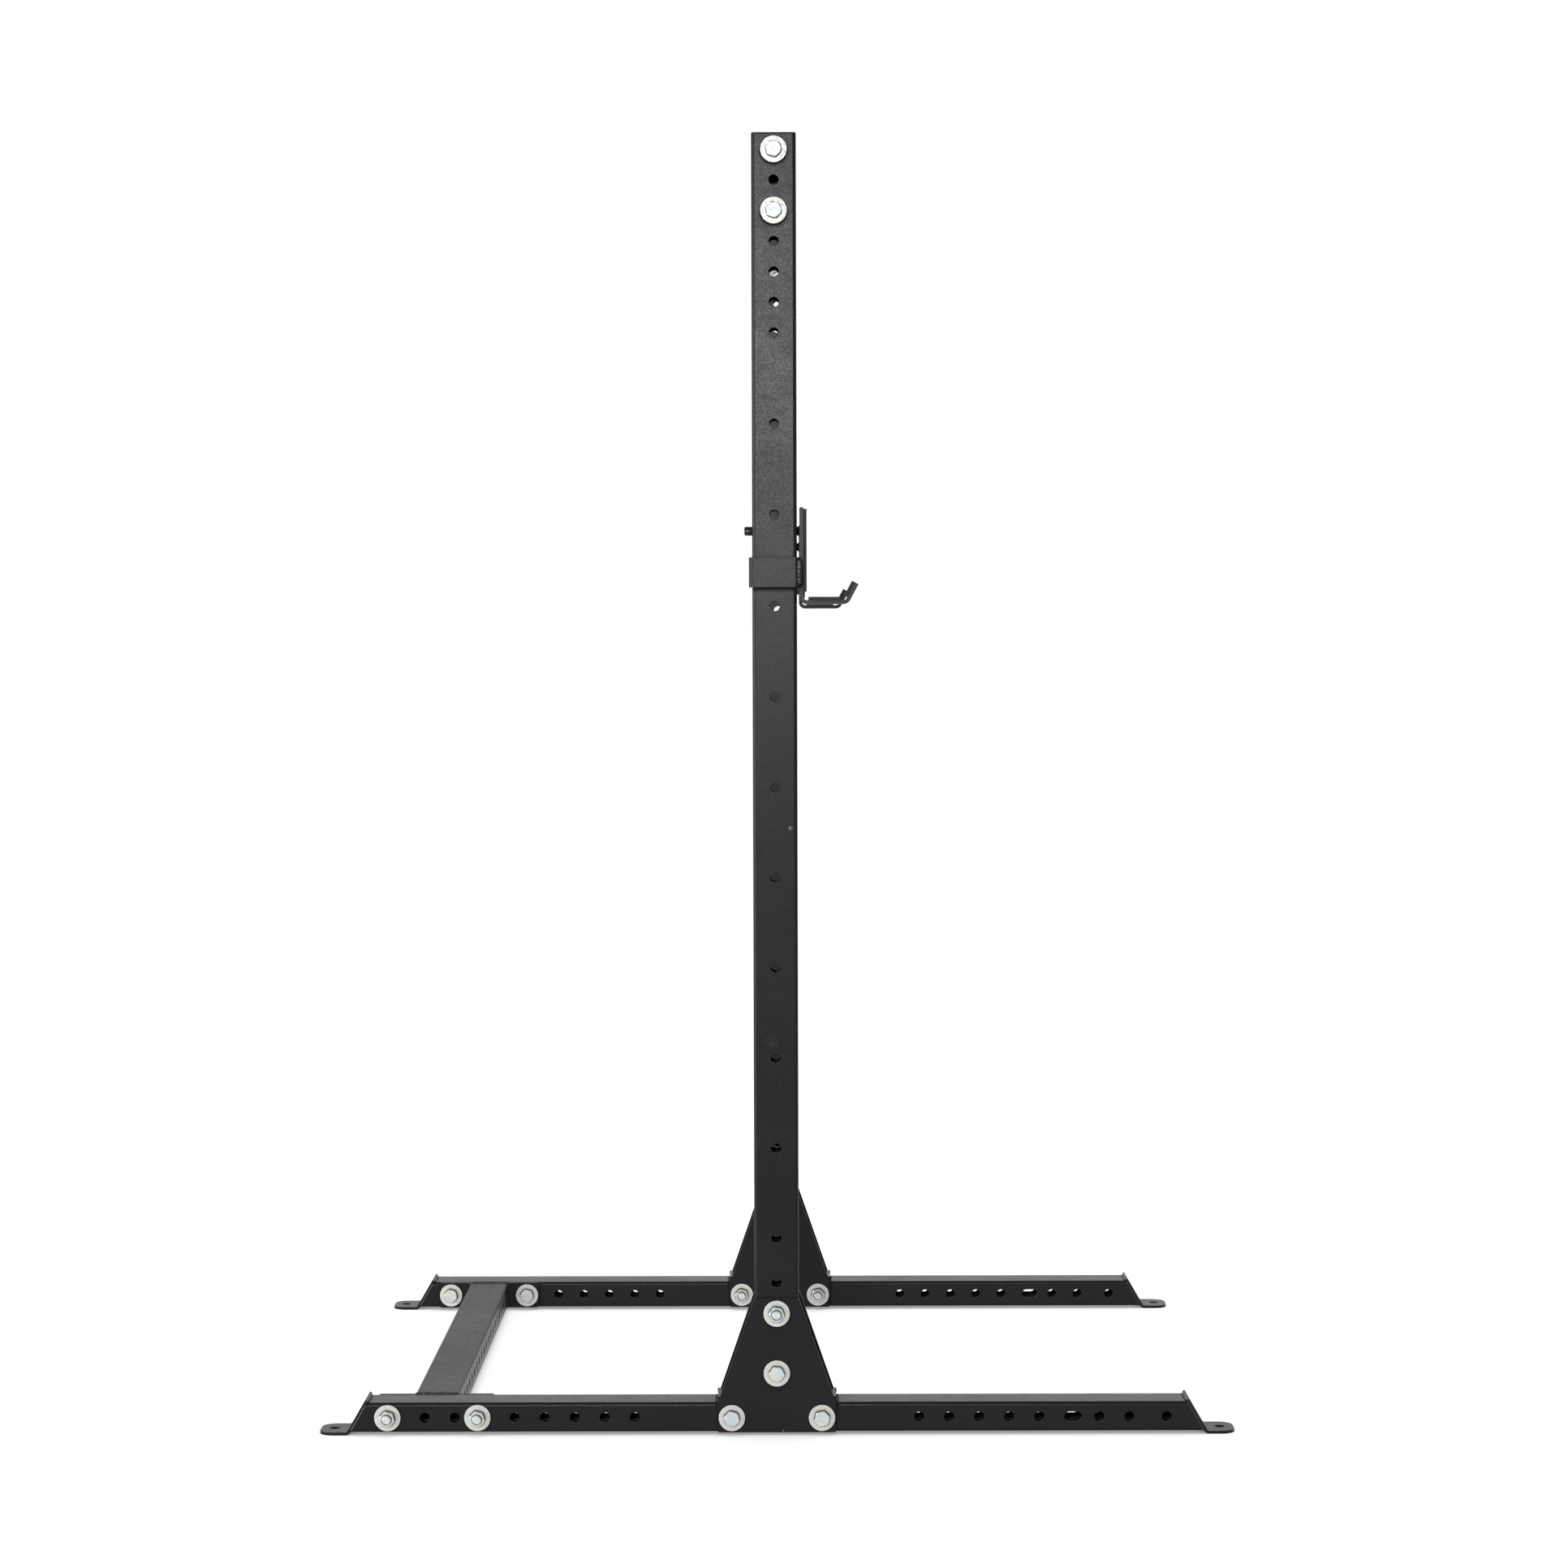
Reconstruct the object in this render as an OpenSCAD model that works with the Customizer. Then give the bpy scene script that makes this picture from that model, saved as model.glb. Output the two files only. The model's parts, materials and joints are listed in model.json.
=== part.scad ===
/* [Stand] */
// Width over the outer faces of the two uprights
stand_w = 1244.6; // [900:0.1:1600]
// Length of an upright tube
upright_len = 2123.6; // [1750:0.1:2600]
// Length of a base rail, between the feet of its two end plates
rail_len = 1458; // [1300:1:2000]

/* [Tubes] */
// Width of every tube: uprights, rails and crossmembers
tube_w = 75; // [70:0.5:90]
// Height of the rail and crossmember tubes
rail_h = 50; // [48:0.5:54]
// Wall of every tube
wall_t = 3; // [2:0.5:4]
// Outer corner radius of every tube
tube_r = 6; // [4.5:0.5:9]

/* [Hole rows] */
// Diameter of every bolt and pin hole
hole_d = 17; // [16.6:0.1:18]
// Pitch of the hole rows
hole_pitch = 50.8; // [48:0.1:58]
// First bolt hole above the lower end of an upright
first_hole_up = 40.8; // [30:0.1:60]
// Outermost rail hole, measured in from the rail's end
rail_hole_inset = 69.5; // [60:0.5:80]
// Play of the slotted rail hole beside the crossmember
slot_play = 12.4; // [6:0.1:20]

/* [Plates] */
// Thickness of the gusset plates
gusset_t = 5; // [3:0.5:8]
// Width of a gusset plate at its top
gusset_top_w = 76; // [60:1:110]
// Plate beyond the outer bolts, sideways
side_edge = 23.8; // [23:0.1:32]
// Plate beyond the outer bolts, upwards
top_edge = 25.4; // [23:0.1:32]
// Thickness of the plate between rail and upright
base_plate_t = 10; // [5:0.5:14]
// Thickness of the crossmembers' end flanges
flange_t = 5; // [3:0.5:8]
// Corner radius of the plates
plate_r = 5; // [2:0.5:8]

/* [Feet] */
// Thickness of the bent foot plates
foot_t = 5; // [3:0.5:8]
// Length of the tab that lies on the floor
foot_tab = 47.5; // [44:0.5:80]
// Slope of the rail's cut ends, from the floor
foot_slope = 60; // [45:1:75]
// Rise of the foot plate above the rail
foot_rise = 5; // [2:0.5:10]
// Inner bend radius of the foot plates
foot_bend_r = 5; // [3:0.5:8]
// Corner radius of the tab
foot_corner_r = 24; // [5:1:30]
// Anchor hole, measured in from the tab's tip
anchor_inset = 23.5; // [20:0.5:30]

/* [Fasteners] */
// Play of a bolt in its hole
bolt_play = 1; // [0.6:0.1:3]
// Width across flats of heads and nuts
bolt_af = 24; // [22:0.5:28]
// Height of a bolt head
head_h = 10; // [7:0.5:12]
// Height of a nut
nut_h = 13; // [9:0.5:16]
// Bolt end beyond its nut
bolt_end = 5; // [2:0.5:12]
// Outside diameter of a washer
washer_d = 44.4; // [34:0.2:45]
// Thickness of a washer
washer_t = 3; // [2:0.5:4]

/* [Caps] */
// Thickness of the upright's end cap
cap_t = 3; // [2:0.5:6]
// Straight part of the cap's edge, below its rounding
cap_rim = 0.5; // [0.2:0.1:1.5]
// Depth of the cap's plug inside the tube
cap_plug = 15; // [8:0.5:16]
// Wall of the cap's plug
cap_wall = 2.5; // [1.5:0.5:4]

/* [J-cups] */
// Hole of the front row that holds the pin, counted from the lowest
cup_hole = 23; // [0:1:31]
// Width of the hook plate
cup_w = 70; // [50:1:74]
// Thickness of the hook plate
cup_t = 6.5; // [4:0.5:8]
// Hook plate above the pin
cup_above = 39; // [25:1:60]
// Hook plate below the pin
cup_below = 123; // [110:1:150]
// Length of the saddle, over the plate's outer corners
saddle_len = 81.5; // [74:0.5:110]
// Length of the lip, from the plate's outer corner
lip_len = 37.4; // [30:0.1:60]
// Slope of the lip, from level
lip_slope = 62; // [50:1:80]
// Inner bend radius of the hook plate
cup_bend_r = 6; // [4:0.5:10]
// Play of the pin in its hole
pin_play = 2; // [0.6:0.1:4]
// Pin end beyond the upright's rear face
pin_tail = 13.5; // [8:0.5:30]
// Thickness of the collar around the upright
collar_t = 4; // [3:0.5:8]
// Height of the collar
collar_h = 50; // [30:1:60]
// Top of the collar below the pin
collar_drop = 44.7; // [30:0.1:55]
// Room between the collar's rear wall and the upright
collar_rear_gap = 1.6; // [0.5:0.1:4]
// Inner bend radius of the collar
collar_bend_r = 3; // [2:0.5:6]
// Return of the collar's rear wall past the upright's middle
collar_return = 25; // [0:1:37]

/* [Liners] */
// Thickness of the plastic liners
liner_t = 5.5; // [3:0.5:6]
// Liner edge inside the hook plate's edge
liner_margin = 2; // [0:0.5:5]
// Length of the upright liner
back_liner_len = 138; // [90:1:139]
// Top edge of the upright liner below the hook plate's top
back_liner_drop = 2.6; // [0:0.1:4]
// Length of the saddle liner
saddle_liner_len = 53.5; // [40:0.5:57]
// Start of the saddle liner after the bend
saddle_liner_gap = 2.5; // [0:0.1:3]
// Length of the lip liner
lip_liner_len = 27; // [15:0.5:27]

/* [Hidden] */

// The stand faces +X; its left side is towards -Y
left = -1;
right = 1;

powder_black = "#1d1c20";
zinc = "#c9c8c2";
plastic_black = "#121214";

// Clearances and overlaps
seat_gap = 0.3;
thread_gap = 0.1;
cut = 1;
bend_steps = 8;
round_steps = 64;
chamfer = 1.5;

// Heights
rail_z = foot_t + rail_h / 2;
rail_top = foot_t + rail_h;
upright_z = rail_top + base_plate_t;
upright_top = upright_z + upright_len;

// What passes through the holes
bolt_d = hole_d - bolt_play;
pin_d = hole_d - pin_play;

// Hole rows of the uprights, as heights; the top crossmember's bolts use the nearest holes that
// leave room for their washers beside the tube
first_hole = upright_z + first_hole_up;
gusset_holes = [first_hole, first_hole + 2 * hole_pitch];
flange_reach = ceil((rail_h / 2 + washer_d / 2 + seat_gap) / hole_pitch) * hole_pitch;
crossmember_z = upright_top - hole_pitch / 2 - flange_reach;
crossmember_holes = [crossmember_z - flange_reach, crossmember_z + flange_reach];
top_holes = [for (i = [0:5]) upright_top - (i + 0.5) * hole_pitch];
side_row_start = first_hole + 4.5 * hole_pitch;
side_row_end = top_holes[5] - hole_pitch / 2;
side_row = [for (z = side_row_start; z < side_row_end; z = z + 3 * hole_pitch) z];
side_holes = concat(gusset_holes, [first_hole + 3 * hole_pitch], side_row, top_holes);
front_row_start = first_hole + 5 * hole_pitch;
front_row_end = upright_top - 4 * hole_pitch + cut;
front_holes = [for (z = front_row_start; z < front_row_end; z = z + hole_pitch) z];

// Hole rows of the rails, as distances from the middle
rail_end_hole = rail_len / 2 - rail_hole_inset;
slot_outer = rail_end_hole - 3 * hole_pitch;
slot_inner = slot_outer - slot_play;
rail_row = [for (i = [-5, -4, -3, -2, -1, 1, 2]) slot_inner + i * hole_pitch];
gusset_rail_hole = 1.5 * hole_pitch;
rear_crossmember_x = -(rail_end_hole + slot_outer) / 2;
rear_bolt_x = [-rail_end_hole, -slot_outer];

// Plates
gusset_w = 2 * (gusset_rail_hole + side_edge);
gusset_top = gusset_holes[1] + top_edge;
rear_flange_w = rail_end_hole - slot_outer + 2 * side_edge;
top_flange_h = 2 * (flange_reach + top_edge);

// Across the stand: the middle of each upright and rail, and the crossmembers' length
tube_y = (stand_w - tube_w) / 2;
crossmember_len = stand_w - 2 * tube_w - 2 * flange_t;
crossmember_pairs = floor((crossmember_len / 2 - 1.5 * hole_pitch) / hole_pitch + 0.5);

// J-cup, in a frame at the middle of its pin, with Y towards the outside of the stand
cup_z = front_row_start + cup_hole * hole_pitch - (hole_d - pin_d) / 2 + seat_gap;
cup_back = tube_w / 2 + seat_gap + collar_t;
cup_path = [
    [cup_back, cup_above],
    [cup_back, -cup_below],
    [cup_back + saddle_len, -cup_below],
    [cup_back + saddle_len, -cup_below] + lip_len * [cos(lip_slope), sin(lip_slope)]
];

// The liners lie on the flats of the hook plate, clear of its bends
liner_w = cup_w - 2 * liner_margin;
lip_bend_run = cup_bend_r * tan(lip_slope / 2);
back_liner_foot = max(cup_above - back_liner_drop - back_liner_len, cup_t + cup_bend_r - cup_below);
saddle_liner_x = cup_back + cup_t + cup_bend_r + saddle_liner_gap;

function unit(v) = v / norm(v);
function left_of(v) = [-v[1], v[0]];

// Arc of radius r that replaces corner b of the line a-b-c
function corner_arc(a, b, c, r) =
    let (
        u = unit(a - b),
        v = unit(c - b),
        half = acos(u * v) / 2,
        centre = b + unit(u + v) * r / sin(half),
        from = b + u * r / tan(half) - centre,
        to = b + v * r / tan(half) - centre,
        start = atan2(from[1], from[0]),
        sweep = (atan2(to[1], to[0]) - start + 540) % 360 - 180
    )
    [for (i = [0:bend_steps])
        let (angle = start + sweep * i / bend_steps)
        centre + r * [cos(angle), sin(angle)]];

// Closed outline with each corner rounded by its own radius, or kept sharp where that is 0
function rounded(points, radii) =
    let (n = len(points))
    [for (i = [0:n - 1])
        each radii[i] > 0
            ? corner_arc(points[(i + n - 1) % n], points[i], points[(i + 1) % n], radii[i])
            : [points[i]]];

// Line that runs t to the left of an open path, with mitred corners
function beside(path, t) =
    let (n = len(path))
    [for (i = [0:n - 1])
        let (
            before = unit(path[max(i, 1)] - path[max(i, 1) - 1]),
            after = unit(path[min(i, n - 2) + 1] - path[min(i, n - 2)]),
            mitre = unit(left_of(before) + left_of(after))
        )
        path[i] + mitre * t / (mitre * left_of(before))];

// Outline of sheet of thickness t bent along a path, which is its right-hand face; r is the inner
// bend radius
function bent_sheet(path, t, r) =
    let (
        n = len(path),
        other = beside(path, t),
        bends = [for (i = [1:n - 2]) cross(path[i] - path[i - 1], path[i + 1] - path[i]) > 0]
    )
    rounded(
        concat(path, [for (i = [n - 1:-1:0]) other[i]]),
        concat(
            [0], [for (i = [0:n - 3]) bends[i] ? r + t : r],
            [0, 0], [for (i = [n - 3:-1:0]) bends[i] ? r : r + t], [0]
        )
    );

// Places a piece modelled around an upright's middle plane, with Y outwards, on one side of the stand
module at_side(side) {
    mirror([0, side < 0 ? 1 : 0, 0]) translate([0, tube_y, 0]) children();
}

module at_cup(side) {
    at_side(side) translate([0, 0, cup_z]) children();
}

// Extrudes an X-Z outline across Y
module across(w) {
    rotate([90, 0, 0]) linear_extrude(w, center = true) children();
}

module rounded_rectangle(w, h, r) {
    union() {
        square([w - 2 * r, h], center = true);
        square([w, h - 2 * r], center = true);
        for (x = [-1, 1], y = [-1, 1])
            translate([x * (w / 2 - r), y * (h / 2 - r)]) circle(r, $fn = round_steps);
    }
}

module tube(w, h, length) {
    linear_extrude(length) difference() {
        rounded_rectangle(w, h, tube_r);
        rounded_rectangle(w - 2 * wall_t, h - 2 * wall_t, tube_r - wall_t);
    }
}

// Round holes along Y, at [x, z] places
module holes_across(places, w) {
    for (p = places)
        translate([p[0], 0, p[1]]) rotate([90, 0, 0])
            cylinder(h = w + 2 * cut, d = hole_d, center = true, $fn = round_steps);
}

// Round holes along X, at [y, z] places
module holes_along(places, w) {
    for (p = places)
        translate([0, p[0], p[1]]) rotate([0, 90, 0])
            cylinder(h = w + 2 * cut, d = hole_d, center = true, $fn = round_steps);
}

// Hexagon of a head or nut, standing on z = 0, with its corners chamfered at the top
module hexagon(h) {
    across_corners = bolt_af / cos(30);
    drop = (across_corners - bolt_af) / 2 * tan(30);
    intersection() {
        cylinder(h = h, d = across_corners, $fn = 6);
        union() {
            cylinder(h = h - drop, d = across_corners + cut, $fn = round_steps);
            translate([0, 0, h - drop])
                cylinder(h = drop, d1 = across_corners, d2 = bolt_af, $fn = round_steps);
        }
    }
}

// Bolt along +Z with the underside of its head at z = 0 and its washers' stack of length grip above
module bolt(grip) {
    shank = grip + nut_h + bolt_end;
    rotate([180, 0, 0]) hexagon(head_h);
    cylinder(h = shank - chamfer, d = bolt_d, $fn = round_steps);
    translate([0, 0, shank - chamfer])
        cylinder(h = chamfer, d1 = bolt_d, d2 = bolt_d - 2 * chamfer, $fn = round_steps);
}

module nut() {
    difference() {
        hexagon(nut_h);
        translate([0, 0, -cut])
            cylinder(h = nut_h + 2 * cut, d = bolt_d + 2 * thread_gap, $fn = round_steps);
    }
}

module washer() {
    difference() {
        cylinder(h = washer_t, d = washer_d, $fn = round_steps);
        translate([0, 0, -cut]) cylinder(h = washer_t + 2 * cut, d = hole_d, $fn = round_steps);
    }
}

// A joint's hardware lies along Y between the faces low and high of what it clamps. Each place is
// [x, z, 1, turn] with the bolt's head at the high end, or [x, z, -1, turn] with its nut there. The
// angle turn, from +X towards +Z, is where a corner of its hexagons stopped when it was tightened.
module at_places(places, low, high) {
    for (p = places)
        translate([p[0], (low + high) / 2, p[1]]) rotate([90 * p[2], 0, 0]) rotate(p[2] * p[3]) children();
}

module bolt_set(places, low, high) {
    grip = high - low + 2 * washer_t;
    at_places(places, low, high) translate([0, 0, -grip / 2]) bolt(grip);
}

module nut_set(places, low, high) {
    at_places(places, low, high) translate([0, 0, (high - low) / 2 + washer_t]) nut();
}

module washer_set(places, low, high) {
    for (p = places, y = [low - washer_t, high])
        translate([p[0], y, p[1]]) rotate([-90, 0, 0]) washer();
}

// Faces that each joint clamps, from the inside of the stand to its outside, in a side's frame
gusset_low = -tube_w / 2 - gusset_t;
gusset_high = tube_w / 2 + gusset_t;
flange_low = -tube_w / 2 - flange_t;
rail_high = tube_w / 2;

gusset_bolt_places = [
    [0, gusset_holes[0], 1, -4],
    [0, gusset_holes[1], -1, -6],
    [-gusset_rail_hole, rail_z, 1, 47],
    [gusset_rail_hole, rail_z, 1, 15]
];
rear_bolt_places = [[rear_bolt_x[0], rail_z, -1, 45], [rear_bolt_x[1], rail_z, -1, 46]];
top_bolt_places = [[0, crossmember_holes[0], 1, 40], [0, crossmember_holes[1], 1, 43]];

module upright(side) {
    color(powder_black) at_side(side) difference() {
        translate([0, 0, upright_z]) tube(tube_w, tube_w, upright_len);
        holes_across([for (z = side_holes) [0, z]], tube_w);
        holes_along([for (z = front_holes) [0, z]], tube_w);
    }
}

module upright_cap(side) {
    plug_w = tube_w - 2 * wall_t - 2 * seat_gap;
    plug_r = tube_r - wall_t;
    half = tube_w / 2;
    rounding = cap_t - cap_rim;
    head = rounded([[-half, 0], [half, 0], [half, cap_t], [-half, cap_t]], [0, 0, rounding, rounding]);
    color(plastic_black) at_side(side) translate([0, 0, upright_top]) {
        intersection() {
            linear_extrude(cap_t) rounded_rectangle(tube_w, tube_w, tube_r);
            across(tube_w) polygon(head);
            rotate(90) across(tube_w) polygon(head);
        }
        translate([0, 0, -cap_plug]) linear_extrude(cap_plug) difference() {
            rounded_rectangle(plug_w, plug_w, plug_r);
            square(plug_w - 2 * cap_wall, center = true);
        }
    }
}

module rail_end_cut() {
    // Everything beyond the inner face of the foot plate
    translate([rail_len / 2 - foot_t / sin(foot_slope), 0, foot_t])
        rotate([0, foot_slope - 90, 0])
            translate([0, -tube_w, -tube_w]) cube([2 * tube_w, 2 * tube_w, 4 * tube_w]);
}

module base_rail(side) {
    color(powder_black) at_side(side) difference() {
        translate([-rail_len / 2, 0, rail_z]) rotate([90, 0, 90]) tube(tube_w, rail_h, rail_len);
        rail_end_cut();
        mirror([1, 0, 0]) rail_end_cut();
        holes_across([for (s = [-1, 1], x = rail_row) [s * x, rail_z]], tube_w);
        holes_across([for (s = [-1, 1], x = [gusset_rail_hole, rail_end_hole]) [s * x, rail_z]], tube_w);
        holes_across([for (s = [-1, 1], x = [slot_inner, slot_outer]) [s * x, rail_z]], tube_w);
        for (s = [-1, 1])
            translate([s * (slot_inner + slot_outer) / 2, 0, rail_z])
                cube([slot_play, tube_w + 2 * cut, hole_d], center = true);
    }
}

// Tab on the floor, bent up against the rail's cut end
module foot_plate(side, end) {
    rise = rail_h + foot_rise;
    tip = rail_len / 2 + foot_tab;
    path = [
        [tip, foot_t],
        [rail_len / 2, foot_t],
        [rail_len / 2 - rise / tan(foot_slope), foot_t + rise]
    ];
    plan = rounded(
        [[0, -tube_w / 2], [tip, -tube_w / 2], [tip, tube_w / 2], [0, tube_w / 2]],
        [0, foot_corner_r, foot_corner_r, 0]
    );
    color(powder_black) at_side(side) mirror([end < 0 ? 1 : 0, 0, 0]) difference() {
        intersection() {
            across(tube_w) polygon(bent_sheet(path, foot_t, foot_bend_r));
            translate([0, 0, -cut]) linear_extrude(rail_top + foot_rise + 2 * cut) polygon(plan);
        }
        translate([tip - anchor_inset, 0, -cut])
            cylinder(h = foot_t + 2 * cut, d = hole_d, $fn = round_steps);
    }
}

module gusset_outline() {
    half = gusset_w / 2;
    half_top = gusset_top_w / 2;
    polygon(rounded(
        [
            [-half, foot_t], [half, foot_t], [half, rail_top],
            [half_top, gusset_top], [-half_top, gusset_top], [-half, rail_top]
        ],
        [plate_r / 2, plate_r / 2, plate_r, plate_r, plate_r, plate_r]
    ));
}

// Side plate of the bracket that joins rail and upright; face is 1 for the outer one, -1 for the inner one
module gusset_plate(side, face) {
    color(powder_black) at_side(side) difference() {
        translate([0, face * (tube_w + gusset_t) / 2, 0]) across(gusset_t) gusset_outline();
        holes_across([for (p = gusset_bolt_places) [p[0], p[1]]], tube_w + 2 * gusset_t);
    }
}

module gusset_base_plate(side) {
    color(powder_black) at_side(side)
        translate([-gusset_w / 2, -tube_w / 2, rail_top]) cube([gusset_w, tube_w, base_plate_t]);
}

// Tube across the stand, with a row of holes through its front and rear faces
module crossmember(x, z) {
    color(powder_black) translate([x, 0, z]) difference() {
        rotate([90, 0, 0]) translate([0, 0, -crossmember_len / 2])
            tube(tube_w, rail_h, crossmember_len);
        holes_along([for (s = [-1, 1], i = [1:crossmember_pairs]) [s * (i - 0.5) * hole_pitch, 0]], tube_w);
    }
}

module flange(w, h) {
    translate([0, -(tube_w + flange_t) / 2, 0]) across(flange_t)
        polygon(rounded(
            [[-w / 2, -h / 2], [w / 2, -h / 2], [w / 2, h / 2], [-w / 2, h / 2]],
            [plate_r, plate_r, plate_r, plate_r]
        ));
}

module rear_flange(side) {
    color(powder_black) at_side(side) difference() {
        translate([rear_crossmember_x, 0, rail_z]) flange(rear_flange_w, rail_h);
        holes_across([for (x = rear_bolt_x) [x, rail_z]], tube_w + 2 * flange_t);
    }
}

module top_flange(side) {
    color(powder_black) at_side(side) difference() {
        translate([0, 0, crossmember_z]) flange(tube_w, top_flange_h);
        holes_across([for (z = crossmember_holes) [0, z]], tube_w + 2 * flange_t);
    }
}

module gusset_bolts(side) {
    color(zinc) at_side(side) bolt_set(gusset_bolt_places, gusset_low, gusset_high);
}

module gusset_washers(side) {
    color(zinc) at_side(side) washer_set(gusset_bolt_places, gusset_low, gusset_high);
}

module gusset_nuts(side) {
    color(zinc) at_side(side) nut_set(gusset_bolt_places, gusset_low, gusset_high);
}

module rear_bolts(side) {
    color(zinc) at_side(side) bolt_set(rear_bolt_places, flange_low, rail_high);
}

module rear_washers(side) {
    color(zinc) at_side(side) washer_set(rear_bolt_places, flange_low, rail_high);
}

module rear_nuts(side) {
    color(zinc) at_side(side) nut_set(rear_bolt_places, flange_low, rail_high);
}

module top_bolts(side) {
    color(zinc) at_side(side) bolt_set(top_bolt_places, flange_low, rail_high);
}

module top_washers(side) {
    color(zinc) at_side(side) washer_set(top_bolt_places, flange_low, rail_high);
}

module top_nuts(side) {
    color(zinc) at_side(side) nut_set(top_bolt_places, flange_low, rail_high);
}

// Plate bent into a back, a saddle for the bar and a sloping lip
module j_cup_hook(side) {
    color(powder_black) at_cup(side) across(cup_w) polygon(bent_sheet(cup_path, cup_t, cup_bend_r));
}

module j_cup_pin(side) {
    tail = tube_w / 2 + pin_tail;
    color(powder_black) at_cup(side) {
        translate([-tail + chamfer, 0, 0]) rotate([0, 90, 0])
            cylinder(h = tail - chamfer + cup_back, d = pin_d, $fn = round_steps);
        translate([-tail, 0, 0]) rotate([0, 90, 0])
            cylinder(h = chamfer, d1 = pin_d - 2 * chamfer, d2 = pin_d, $fn = round_steps);
    }
}

// Flat bar bent around three faces of the upright, open towards the inside of the stand
module j_cup_collar(side) {
    outside = tube_w / 2 + seat_gap + collar_t;
    rear = -tube_w / 2 - collar_rear_gap - collar_t;
    path = [[cup_back, -cup_w / 2], [cup_back, outside], [rear, outside], [rear, -collar_return]];
    color(powder_black) at_cup(side) translate([0, 0, -collar_drop - collar_h])
        linear_extrude(collar_h) polygon(bent_sheet(path, collar_t, collar_bend_r));
}

module j_cup_back_liner(side) {
    color(plastic_black) at_cup(side)
        translate([cup_back + cup_t, -liner_w / 2, back_liner_foot])
            cube([liner_t, liner_w, back_liner_len]);
}

// Where it reaches the lip's bend, the liner's end is cut back underneath
module j_cup_saddle_liner(side) {
    floor_z = cup_t - cup_below;
    end = saddle_liner_x + saddle_liner_len;
    foot = min(end, beside(cup_path, cup_t)[2][0] - lip_bend_run);
    color(plastic_black) at_cup(side) across(liner_w) polygon([
        [saddle_liner_x, floor_z], [foot, floor_z],
        [end, floor_z + liner_t], [saddle_liner_x, floor_z + liner_t]
    ]);
}

module j_cup_lip_liner(side) {
    inner = beside(cup_path, cup_t);
    foot = max(norm(inner[3] - inner[2]) - lip_liner_len, lip_bend_run);
    color(plastic_black) at_cup(side) translate([inner[2][0], 0, inner[2][1]])
        rotate([0, -lip_slope, 0]) translate([foot, -liner_w / 2, 0])
            cube([lip_liner_len, liner_w, liner_t]);
}

upright(left);  // upright_left
upright(right);  // upright_right
upright_cap(left);  // upright_cap_left
upright_cap(right);  // upright_cap_right
base_rail(left);  // base_rail_left
base_rail(right);  // base_rail_right
foot_plate(left, 1);  // front_foot_plate_left
foot_plate(right, 1);  // front_foot_plate_right
foot_plate(left, -1);  // rear_foot_plate_left
foot_plate(right, -1);  // rear_foot_plate_right
gusset_plate(left, 1);  // gusset_outer_plate_left
gusset_plate(right, 1);  // gusset_outer_plate_right
gusset_plate(left, -1);  // gusset_inner_plate_left
gusset_plate(right, -1);  // gusset_inner_plate_right
gusset_base_plate(left);  // gusset_base_plate_left
gusset_base_plate(right);  // gusset_base_plate_right
crossmember(rear_crossmember_x, rail_z);  // rear_crossmember
rear_flange(left);  // rear_flange_left
rear_flange(right);  // rear_flange_right
crossmember(0, crossmember_z);  // top_crossmember
top_flange(left);  // top_flange_left
top_flange(right);  // top_flange_right
gusset_bolts(left);  // gusset_bolts_left
gusset_bolts(right);  // gusset_bolts_right
gusset_washers(left);  // gusset_washers_left
gusset_washers(right);  // gusset_washers_right
gusset_nuts(left);  // gusset_nuts_left
gusset_nuts(right);  // gusset_nuts_right
rear_bolts(left);  // rear_bolts_left
rear_bolts(right);  // rear_bolts_right
rear_washers(left);  // rear_washers_left
rear_washers(right);  // rear_washers_right
rear_nuts(left);  // rear_nuts_left
rear_nuts(right);  // rear_nuts_right
top_bolts(left);  // top_bolts_left
top_bolts(right);  // top_bolts_right
top_washers(left);  // top_washers_left
top_washers(right);  // top_washers_right
top_nuts(left);  // top_nuts_left
top_nuts(right);  // top_nuts_right
j_cup_hook(left);  // j_cup_hook_left
j_cup_hook(right);  // j_cup_hook_right
j_cup_pin(left);  // j_cup_pin_left
j_cup_pin(right);  // j_cup_pin_right
j_cup_collar(left);  // j_cup_collar_left
j_cup_collar(right);  // j_cup_collar_right
j_cup_back_liner(left);  // j_cup_back_liner_left
j_cup_back_liner(right);  // j_cup_back_liner_right
j_cup_saddle_liner(left);  // j_cup_saddle_liner_left
j_cup_saddle_liner(right);  // j_cup_saddle_liner_right
j_cup_lip_liner(left);  // j_cup_lip_liner_left
j_cup_lip_liner(right);  // j_cup_lip_liner_right
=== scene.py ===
"""Squat stand: looks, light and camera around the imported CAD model. All lengths are in metres."""

import json
import math

import bmesh
import bpy
from mathutils import Matrix, Vector, noise

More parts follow.
